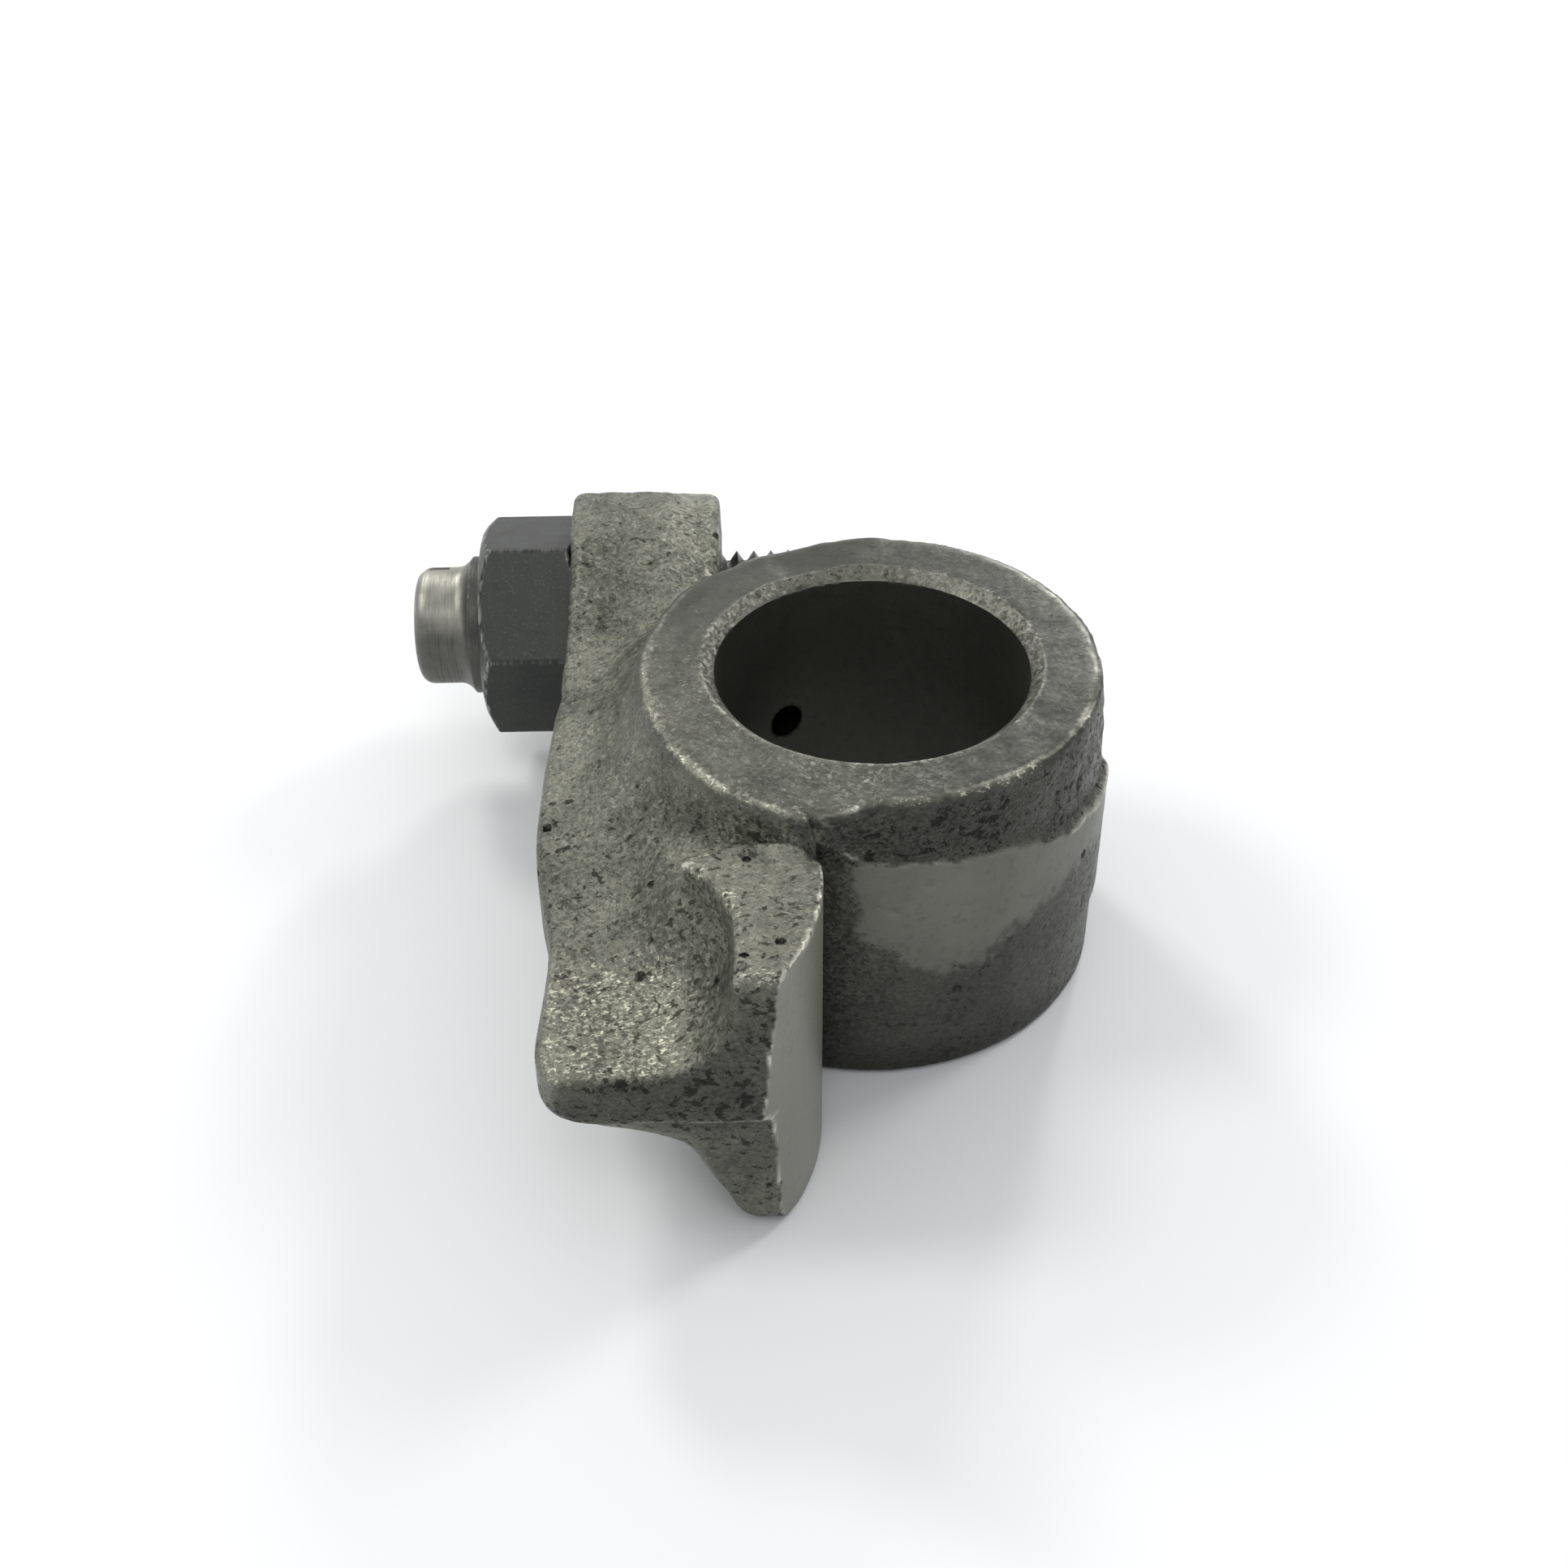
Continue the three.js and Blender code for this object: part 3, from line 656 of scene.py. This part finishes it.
class Nodes:
    """Short calls for building one material's node tree, with lengths in millimetres."""

    def __init__(self, name):
        self.material = bpy.data.materials.new(name)
        self.material.use_nodes = True
        self.tree = self.material.node_tree
        self.shader = self.tree.nodes["Principled BSDF"]
        place = self.add("ShaderNodeTexCoord").outputs["Object"]
        scale = self.add("ShaderNodeVectorMath", operation="SCALE")
        scale.inputs["Scale"].default_value = 1 / MM
        self.link(place, scale.inputs[0])
        self.place = scale.outputs[0]

    def add(self, kind, **settings):
        node = self.tree.nodes.new(kind)
        for key, value in settings.items():
            setattr(node, key, value)
        return node

    def link(self, source, target):
        """Joins a socket to another, or sets it to a plain number or tuple."""
        if isinstance(source, (int, float, tuple)):
            target.default_value = source
        else:
            self.tree.links.new(source, target)

    def attribute(self, name):
        return self.add("ShaderNodeAttribute", attribute_name=name).outputs["Fac"]

    def noise(self, size, detail=2.0, roughness=0.5, distortion=0.0, at=None):
        node = self.add("ShaderNodeTexNoise")
        node.inputs["Scale"].default_value = 1 / size
        node.inputs["Detail"].default_value = detail
        node.inputs["Roughness"].default_value = roughness
        node.inputs["Distortion"].default_value = distortion
        self.link(at or self.place, node.inputs["Vector"])
        return node.outputs["Fac"]

    def stretched(self, x, y, z):
        """Places that draw a texture out along each axis."""
        node = self.add("ShaderNodeVectorMath", operation="MULTIPLY")
        self.link(self.place, node.inputs[0])
        node.inputs[1].default_value = (1 / x, 1 / y, 1 / z)
        return node.outputs[0]

    def math(self, operation, a, b):
        node = self.add("ShaderNodeMath", operation=operation)
        self.link(a, node.inputs[0])
        self.link(b, node.inputs[1])
        return node.outputs[0]

    def step(self, value, low, high, start=0.0, end=1.0):
        """Goes softly from start to end as value goes from low to high."""
        node = self.add("ShaderNodeMapRange", interpolation_type="SMOOTHSTEP")
        for slot, v in enumerate((value, low, high, start, end)):
            self.link(v, node.inputs[slot])
        return node.outputs[0]

    def mix(self, factor, a, b):
        """The colour a where factor is 0, and b where it is 1."""
        node = self.add("ShaderNodeMix", data_type="RGBA")
        self.link(factor, node.inputs["Factor"])
        for value, socket in ((a, node.inputs[6]), (b, node.inputs[7])):
            self.link(value + (1,) if isinstance(value, tuple) else value, socket)
        return node.outputs[2]

    def blend(self, factor, a, b):
        """The number a where factor is 0, and b where it is 1."""
        node = self.add("ShaderNodeMix", data_type="FLOAT")
        for value, socket in ((factor, node.inputs[0]), (a, node.inputs[2]), (b, node.inputs[3])):
            self.link(value, socket)
        return node.outputs[0]

    def facets(self, size, strength):
        """The surface's normal, tilted at random in small flat cells."""
        cells = self.add("ShaderNodeTexVoronoi", feature="F1")
        cells.inputs["Scale"].default_value = 1 / size
        self.link(self.place, cells.inputs["Vector"])
        tilt = self.add("ShaderNodeVectorMath", operation="SUBTRACT")
        self.link(cells.outputs["Color"], tilt.inputs[0])
        tilt.inputs[1].default_value = (0.5, 0.5, 0.5)
        scaled = self.add("ShaderNodeVectorMath", operation="SCALE")
        self.link(tilt.outputs[0], scaled.inputs[0])
        self.link(strength, scaled.inputs["Scale"])
        total = self.add("ShaderNodeVectorMath", operation="ADD")
        self.link(self.add("ShaderNodeNewGeometry").outputs["Normal"], total.inputs[0])
        self.link(scaled.outputs[0], total.inputs[1])
        unit = self.add("ShaderNodeVectorMath", operation="NORMALIZE")
        self.link(total.outputs[0], unit.inputs[0])
        return unit.outputs[0]

    def bump(self, height, distance, strength=1.0, before=None):
        """A bump of so many millimetres, on top of the normal before it."""
        node = self.add("ShaderNodeBump")
        node.inputs["Distance"].default_value = distance * MM
        self.link(strength, node.inputs["Strength"])
        self.link(height, node.inputs["Height"])
        if before:
            self.link(before, node.inputs["Normal"])
        return node.outputs["Normal"]


def cast_colour(n, smooth, middle, grain):
    """Dull grainy scale on the forging, even grey on ground faces, clean metal with a faint painted
    highlight, and soot with painted shade over both.
    """
    broad = n.noise(4.5, 3, 0.6)
    scale = n.mix(n.step(broad, 0.34, 0.66), SCALE_DARK, SCALE_LIGHT)
    scale = n.mix(n.step(middle, 0.38, 0.62, 0.0, 0.45), scale, SCALE_PATCH)
    scale = n.mix(n.step(grain, 0.47, 0.33, 0.0, 0.75), scale, GRAIN_DARK)
    scale = n.mix(n.step(grain, 0.57, 0.72, 0.0, 0.45), scale, GRAIN_LIGHT)
    ground = n.mix(n.step(broad, 0.35, 0.65), GROUND_DARK, GROUND_LIGHT)
    ground = n.mix(n.step(n.noise(0.7, 4, 0.6), 0.53, 0.68, 0.0, 0.55), ground, GROUND_STAIN)
    colour = n.mix(n.math("MULTIPLY", smooth, 0.9), scale, ground)
    colour = n.mix(n.attribute("light"), colour, CLEAN_METAL_AND_HIGHLIGHT)
    # The dark mask lays soot and painted shade
    soot_and_shade = n.mix(n.step(grain, 0.35, 0.65), SOOT_SHADE_DARK, SOOT_SHADE_LIGHT)
    return n.mix(n.attribute("dark"), colour, n.mix(smooth, soot_and_shade, SOOT_SHADE_EVEN))


def cast_painted_glints(n, colour):
    """Painted glints: small bright flecks, and a painted sheen, where the glint mask is high."""
    glint_noise = n.noise(0.25, 4, 0.65, 0.9, at=n.stretched(1.45, 1, 1))
    shine = n.attribute("glint")
    glints = n.step(n.math("ADD", glint_noise, n.math("MULTIPLY", shine, 0.10)), 0.60, 0.72)
    glints = n.math("MULTIPLY", glints, n.step(shine, 0.05, 0.7, 0.0, 0.62))
    colour = n.mix(n.math("MULTIPLY", shine, 0.16), colour, PAINTED_SHEEN)
    return n.mix(glints, colour, PAINTED_GLINT)


def cast_pits(n, smooth):
    """Where the pits are: the large ones of the mesh, and crowds of small ragged ones."""
    blotch = n.noise(0.5, 4, 0.6, 0.25, at=n.stretched(1.35, 1, 1))
    crowd = n.step(n.noise(2.6, 2), 0.42, 0.68, 0.006, 0.08)
    crowd = n.math("ADD", crowd, n.math("MULTIPLY", n.attribute("crowded"), 0.06))
    small = n.step(n.math("ADD", blotch, crowd), 0.655, 0.695)
    pits = n.math("MAXIMUM", n.attribute("pitted"), n.math("MULTIPLY", small, 0.8))
    return n.math("MULTIPLY", pits, n.blend(smooth, 1.0, 0.12))


def cast_normal(n, smooth, grain, pits):
    """Facets, then crinkles, grain and pits. Ground faces keep little of them."""
    crinkle = n.noise(0.42, 4, 0.65, 0.5, at=n.stretched(1.5, 1, 1))
    normal = n.facets(0.24, n.blend(smooth, 0.62, 0.03))
    normal = n.bump(crinkle, 0.14, n.blend(smooth, 1.0, 0.06), normal)
    normal = n.bump(grain, 0.035, n.blend(smooth, 0.9, 0.12), normal)
    return n.bump(n.math("SUBTRACT", 1.0, pits), 0.08, 0.8, normal)


def cast_steel():
    """The forging's skin. Its masks say where it is ground, sooty, worn or pitted, and where painted shade
    and painted highlights go.
    """
    n = Nodes("cast_steel")
    smooth = n.attribute("smooth")
    worn = n.attribute("worn")
    middle = n.noise(0.9, 3, 0.6)
    grain = n.noise(0.16, 4, 0.7, 0.3, at=n.stretched(1.6, 1, 1))
    pits = cast_pits(n, smooth)
    colour = n.mix(worn, cast_colour(n, smooth, middle, grain), WORN_METAL)
    colour = cast_painted_glints(n, colour)
    colour = n.mix(n.math("MULTIPLY", pits, 0.72), colour, PIT_COLOUR)
    gloss = n.blend(smooth, n.step(middle, 0.35, 0.65, 0.34, 0.5), 0.40)
    gloss = n.blend(worn, gloss, 0.28)
    n.shader.inputs["Metallic"].default_value = 0.9
    n.link(colour, n.shader.inputs["Base Color"])
    n.link(n.blend(pits, gloss, 0.85), n.shader.inputs["Roughness"])
    n.link(cast_normal(n, smooth, grain, pits), n.shader.inputs["Normal"])
    return n.material


def turned_steel():
    """Grey steel with fine turning marks round the screw's axis."""
    n = Nodes("turned_steel")
    rings = n.noise(0.5, 3, 0.7, at=n.stretched(0.22, 6, 6))
    fine = n.noise(0.5, 2, 0.6, at=n.stretched(0.08, 3, 3))
    patches = n.noise(2.2, 3, 0.6)
    colour = n.mix(n.step(patches, 0.3, 0.7), TURNED_DARK, TURNED_LIGHT)
    colour = n.mix(n.step(rings, 0.5, 0.7, 0.0, 0.5), colour, TURNED_MARK)
    # Painted shade where the dark mask is high
    colour = n.mix(n.attribute("dark"), colour, TURNED_PAINTED_SHADE)
    n.shader.inputs["Metallic"].default_value = 0.95
    n.link(colour, n.shader.inputs["Base Color"])
    n.link(n.blend(n.step(rings, 0.35, 0.65), 0.4, 0.52), n.shader.inputs["Roughness"])
    normal = n.bump(rings, 0.02, 0.6)
    n.link(n.bump(fine, 0.008, 0.6, normal), n.shader.inputs["Normal"])
    return n.material


def blackened_steel():
    """Heat-blackened steel, scuffed to bare metal in strokes along the nut's edges."""
    n = Nodes("blackened_steel")
    patches = n.noise(3.0, 3, 0.55)
    fine = n.noise(0.18, 2, 0.6)
    strokes = n.noise(0.5, 2, 0.6, at=n.stretched(0.5, 2.2, 2.2))
    scuffed = n.math("MULTIPLY", n.attribute("worn"), n.step(strokes, 0.42, 0.6))
    colour = n.mix(n.step(patches, 0.3, 0.7), BLACK_DARK, BLACK_LIGHT)
    colour = n.mix(n.step(fine, 0.55, 0.75, 0.0, 0.35), colour, BLACK_DUST)
    colour = n.mix(scuffed, colour, NUT_SCUFF)
    # Painted shade round the hole
    colour = n.mix(n.attribute("dark"), colour, NUT_HOLE_SHADE)
    gloss = n.blend(n.step(patches, 0.35, 0.7), 0.34, 0.46)
    n.shader.inputs["Metallic"].default_value = 0.7
    n.link(colour, n.shader.inputs["Base Color"])
    n.link(n.blend(scuffed, gloss, 0.3), n.shader.inputs["Roughness"])
    normal = n.bump(fine, 0.012, 0.6)
    n.link(n.bump(n.noise(1.4, 2), 0.05, 0.5, normal), n.shader.inputs["Normal"])
    return n.material


def floor_paint():
    n = Nodes("floor_paint")
    n.link(n.mix(n.noise(60, 2), FLOOR_DARK, FLOOR_LIGHT), n.shader.inputs["Base Color"])
    n.shader.inputs["Roughness"].default_value = 0.6
    return n.material


# ---------- masks, from 0 to 1 at each vertex ----------

ON_SURFACE, ON_CAM_FACE = 0.03, 0.05
WEAR_REACH, NUT_WEAR_REACH = 0.35, 0.25

strongest = np.maximum.reduce


def machined(x, y, z):
    """Which vertices lie on each machined surface."""
    on = {name: np.abs(tool) < ON_SURFACE for name, tool in cutters(x, y, z).items()}
    on["cam_face"] &= np.abs(face_arc(x, y)) < ON_CAM_FACE
    return on


def boss_side(x, y, z, cam_face):
    """The boss's outside: its rough band, the land below, the land's bright ragged patch, and painted shade
    towards its foot.
    """
    r, angle, up = np.hypot(x, y), angle_round(x, y), np.abs(z - MID_Z)
    side = (r > 14.3) & (r < 15.6 + 2 * ramp(z - MID_Z, 2, 4)) & (up < MID_Z - 0.2)
    side = side & (angle > -110) & ~cam_face
    side = side * ramp(angle + 9 * wobble(x, y, z, 3.5, 13), 88, 62)
    edge = land_top(angle) + 0.5 * wobble(x, y, z, 2.3, 1) + 0.3 * wobble(x, y, z, 0.8, 2)
    ragged = 0.9 * wobble(x, y, z, 1.9, 6) + 0.6 * wobble(x, y, z, 0.8, 7) + 0.7 * wobble(x, y, z, 0.4, 14)
    low_edge = np.interp(angle, [-104, -95, -78, -64, -46, 0], [13, 11.2, 8.8, 9.0, 11.2, 12.4])
    land = side * ramp(edge - z, -0.05, 0.15)
    patch = land * ramp(z - low_edge - ragged, -0.7, 0.9) * ramp(angle + 2.0 * ragged, -98, -95)
    return {
        "band": side * ramp(z - edge, -0.15, 0.1),
        "land": land,
        "patch": patch,
        "sooty": side * (1 - patch),
        # Painted shade, darker towards the bottom
        "foot": side * ramp(7.5 - z, 0, 7.5),
    }


def worn_edges(p, patchy):
    """Sharp edges and the parting line, with less wear round the bore and on the boss's far side."""
    x, y, z = p.T
    up = np.abs(z - MID_Z)
    convex = sharpness(arm_smooth, p, WEAR_REACH)
    parting = ramp(0.2 - np.abs(z - PARTING_Z), 0, 0.12) * ramp(-y, 27.2, 28) * ramp(x, -12.5, -11)
    worn = np.maximum(ramp(convex, 0.5, 1.3) * ramp(patchy, -0.6, 0.6), 0.5 * parting)
    worn = worn * (1 - 0.75 * ramp(12 - np.hypot(x, y), 0, 0.5))
    worn = worn * (1 - 0.7 * ramp(y, -1, 3) * ramp(up, MID_Z - 2, MID_Z - 1))
    tail = ramp(-y, 12.5, 14.5) * ramp(-x, 2, 4) * ramp(up, MID_Z - 1.5, MID_Z - 1)
    return worn * (1 - 0.6 * tail)


def upper_rim(x, y, z, patchy):
    """The rim of the boss's upper face, which takes painted glints: along the shoulder on its left, round
    the boss on its right.
    """
    left = ramp(0.28 - np.abs(TOP_OUTLINE(x, y)), 0, 0.15) * ramp(-x, 4, 8) * ramp(4 - y, 0, 4)
    right = ramp(0.25 - np.abs(np.hypot(x, y) - 14.3), 0, 0.15) * ramp(x, -2, 0) * ramp(2 - y, 0, 2)
    rim = np.clip(left + right, 0, 1)
    return rim * ramp(z, TOP_Z - 0.6, TOP_Z - 0.35) * ramp(patchy, -0.9, 0.5)


def head_places(x, y, z, patchy):
    """Places on the slipper and the web: tops and ridges that take painted highlights, and walls that are
    crowded with pits.
    """
    up = np.abs(z - MID_Z)
    # Up-facing tops near the nose and on the slipper, which get a faint painted highlight
    bright = ramp(-y, 14, 19) * ramp(-x, 9, 11) + ramp(-y, 15.5, 17) * ramp(up, 8.6, 9.1)
    wall = ramp(-y, 17, 19) * ramp(z - MID_Z, 2.3, 3.5) * ramp(8.8 - z + MID_Z, 0, 1)
    ridge = ramp(0.55 - np.abs(PAD_OUTLINE(x, y) + 0.25), 0, 0.4) * ramp(-x, 8, 8.6)
    ridge = np.maximum(ridge, ramp(-y, 26.3, 27.0))
    nose_top = ramp(-y - 0.25 * (x + 20), 14, 21) * ramp(z - MID_Z, 1.2, 2.0)
    return {
        "pad_top": ramp(-y, 15.8, 17.2) * ramp(up, 8.9, 9.3) * (z > MID_Z),
        "ridge": ridge * ramp(z - MID_Z, 8.3, 9.1) * ramp(patchy, -0.9, 0.2),
        "nose_top": nose_top * ramp(-x, 10, 13) * ramp(x, -20.4, -19.2),
        "saddle": ramp(z - MID_Z, 4.5, 6.5) * ramp(9 - np.abs(y + 6), 0, 5) * (x < -8),
        "wall": wall * ramp(x, -14.5, -12),
        "flank": ramp(-x, 19.2, 20) * ramp(5 - up, 0, 1),
        "bright": np.clip(bright, 0, 1),
    }


def arm_masks(p):
    """The seven masks that cast_steel reads."""
    x, y, z = p.T
    on = machined(x, y, z)
    patchy = wobble(x, y, z, 1.3, 8) + 0.5 * wobble(x, y, z, 0.5, 9)
    varied = 0.75 + 0.25 * ramp(wobble(x, y, z, 2.6, 12), -0.6, 0.6)
    boss = boss_side(x, y, z, on["cam_face"])
    head = head_places(x, y, z, patchy)
    worn = worn_edges(p, patchy)
    # The nose's end face: painted shade, as it faces away from the lights. It takes no painted highlights
    # and is crowded with pits
    nose = ramp(-y, 27.4, 28.0) * ~on["cam_face"]
    ring_inner = BORE_R + CHAMFER
    faced = ramp(np.abs(z - MID_Z), MID_Z - 0.9, MID_Z - 0.5)
    faced = faced * ramp(np.hypot(x, y), ring_inner - 0.2, ring_inner + 0.1)
    shown = ~(on["bore"] | on["oil"] | on["tapped"] | (z < 1))
    smooth = strongest([
        on["bore"] * 1.0, on["cam_face"] * 1.0, on["oil"] * 1.0, on["seat"] * 0.9, on["chamfer"] * 0.4,
        boss["patch"], boss["land"] * 0.55,
        faced * (0.60 + 0.35 * np.maximum(ramp(x, -3, 7), ramp(y, 0, 8)))])
    # Clean machined metal, and a faint painted highlight on the head's up-facing tops
    light = strongest([
        on["chamfer"] * 0.3, on["cam_face"] * 0.75, on["bore"] * 0.3, boss["patch"] * 0.25,
        0.05 * head["bright"]])
    # Soot on the band and the boss's side; painted shade inside the holes, on the nose end and towards the
    # boss's foot; the faced ring darker, more so towards +x
    dark = strongest([
        on["bore"] * 0.05, on["oil"] * 1.0, on["tapped"] * 1.0, nose * 0.6, boss["band"] * 0.72,
        boss["sooty"] * 0.55, boss["foot"] * 0.85, faced * (0.18 + 0.34 * ramp(x, 2, 10))])
    # Painted glints and sheen: on the slipper's top, the nose's top, the ridges, the saddle, the upper rim
    # and the worn edges
    glint = strongest([
        head["pad_top"] * 0.26 * varied, head["nose_top"] * 0.9 * varied, head["ridge"] * 0.95,
        head["saddle"] * 0.3, upper_rim(x, y, z, patchy) * 0.8, worn * 0.8])
    crowded = strongest([
        nose, head["wall"], 0.7 * head["flank"], 0.8 * boss["band"], 0.35 * boss["sooty"],
        0.3 * head["pad_top"], 0.3 * head["nose_top"]])
    return {
        "smooth": smooth,
        "light": light * (1 - nose),
        "dark": dark,
        "worn": worn * shown,
        "glint": glint * shown * (1 - nose),
        "crowded": crowded,
        "pitted": ramp(pit_depth(x, y, z), 0.06, 0.0),
    }


def screw_masks(p):
    """Painted shade on the neck beside the nut and on the underside; the thread beyond the eye is darkened
    too.
    """
    x, y, z = p.T
    r = np.hypot(y - SCREW_Y, z - SCREW_Z)
    neck = 0.8 * ramp(x, THREAD_START - 0.8, THREAD_START - 0.1)
    under = 0.72 * ramp(SCREW_Z + 3.2 - z + 0.4 * wobble(x, y, z, 1.5, 11), 0, 2.2) * ramp(r, 3.0, 3.8)
    thread = 0.75 * ramp(x, EYE_FRONT_X - 1, EYE_FRONT_X) * ramp(THREAD_END - x, 0, 0.5)
    return {"dark": strongest([neck, under, thread])}


def nut_masks(p):
    """Scuffs on the hexagon's edges, and painted shade round the hole, where the screw passes through."""
    x, y, z = p.T
    r = np.hypot(y - SCREW_Y, z - SCREW_Z)
    worn = 0.6 * ramp(sharpness(nut_field, p, NUT_WEAR_REACH), 0.3, 0.9) * ramp(r, 6.2, 6.9)
    return {"worn": worn, "dark": ramp(5.6 - r, 0, 0.2)}


# ---------- pieces ----------

ARM_STEP = 0.25
FINE_STEP = 0.13
MARGIN = 0.8


def draw(field, low, high, step):
    coarser = 1
    return contour(field, low - MARGIN, high + MARGIN, step * coarser)


def make_pieces():
    find_pits()
    v, q = draw(arm_field, ARM_LOW, ARM_HIGH, ARM_STEP)
    add_piece("arm_forging", v, q, arm_masks(v), cast_steel(),
              body="rocker_arm", node="rocker_arm", sharp_degrees=35)
    v, q = draw(screw_field, SCREW_LOW, SCREW_HIGH, FINE_STEP)
    add_piece("screw_turned", v, q, screw_masks(v), turned_steel(),
              body="adjusting_screw", node="adjusting_screw", sharp_degrees=30)
    v, q = draw(nut_field, NUT_LOW, NUT_HIGH, FINE_STEP)
    add_piece("nut_hexagon", v, q, nut_masks(v), blackened_steel(),
              body="lock_nut", node="lock_nut", sharp_degrees=30)


# ---------- floor and light, with lengths in metres ----------

FLOOR_HALF = 1.5
FLOOR_GAP = 0.0001
LIGHT_COLOUR = (1.0, 0.99, 0.96)
SKY_COLOUR = (0.96, 0.98, 1.0, 1)
SKY_STRENGTH = 0.66
LIGHTS = (
    # name, degrees clockwise from straight behind the object, degrees up, diameter, watts
    ("back_right", 18, 22, 0.14, 2.5),
    ("back_left", -30, 38, 0.20, 2.5),
    ("right", 56, 38, 0.26, 2.2),
    ("left", -85, 50, 0.30, 2.3),
    ("front", 180, 60, 0.30, 0.75),
)


def add_floor():
    """A pale floor, a hair below the boss's lower face."""
    h = FLOOR_HALF
    mesh = bpy.data.meshes.new("floor")
    mesh.from_pydata([(-h, -h, 0), (h, -h, 0), (h, h, 0), (-h, h, 0)], [], [(0, 1, 2, 3)])
    mesh.materials.append(floor_paint())
    floor = bpy.data.objects.new("floor", mesh)
    floor.location.z = CAD_BOX[0].z - FLOOR_GAP
    bpy.context.scene.collection.objects.link(floor)


def add_light(name, round_deg, up_deg, size, watts):
    """A round soft light one metre from the origin, aimed at it."""
    light = bpy.data.lights.new(name, "AREA")
    light.shape = "DISK"
    light.size = size
    light.energy = watts
    light.color = LIGHT_COLOUR
    lamp = bpy.data.objects.new(name, light)
    turn, rise = math.radians(round_deg), math.radians(up_deg)
    towards = Vector((math.sin(turn) * math.cos(rise), math.cos(turn) * math.cos(rise), math.sin(rise)))
    lamp.location = towards
    lamp.rotation_euler = (-towards).to_track_quat("-Z", "Y").to_euler()
    bpy.context.scene.collection.objects.link(lamp)


def add_sky():
    world = bpy.data.worlds.new("studio")
    world.use_nodes = True
    background = world.node_tree.nodes["Background"]
    background.inputs["Color"].default_value = SKY_COLOUR
    background.inputs["Strength"].default_value = SKY_STRENGTH
    bpy.context.scene.world = world


make_pieces()
add_floor()
for row in LIGHTS:
    add_light(*row)
add_sky()
bpy.context.scene.view_settings.view_transform = "Standard"
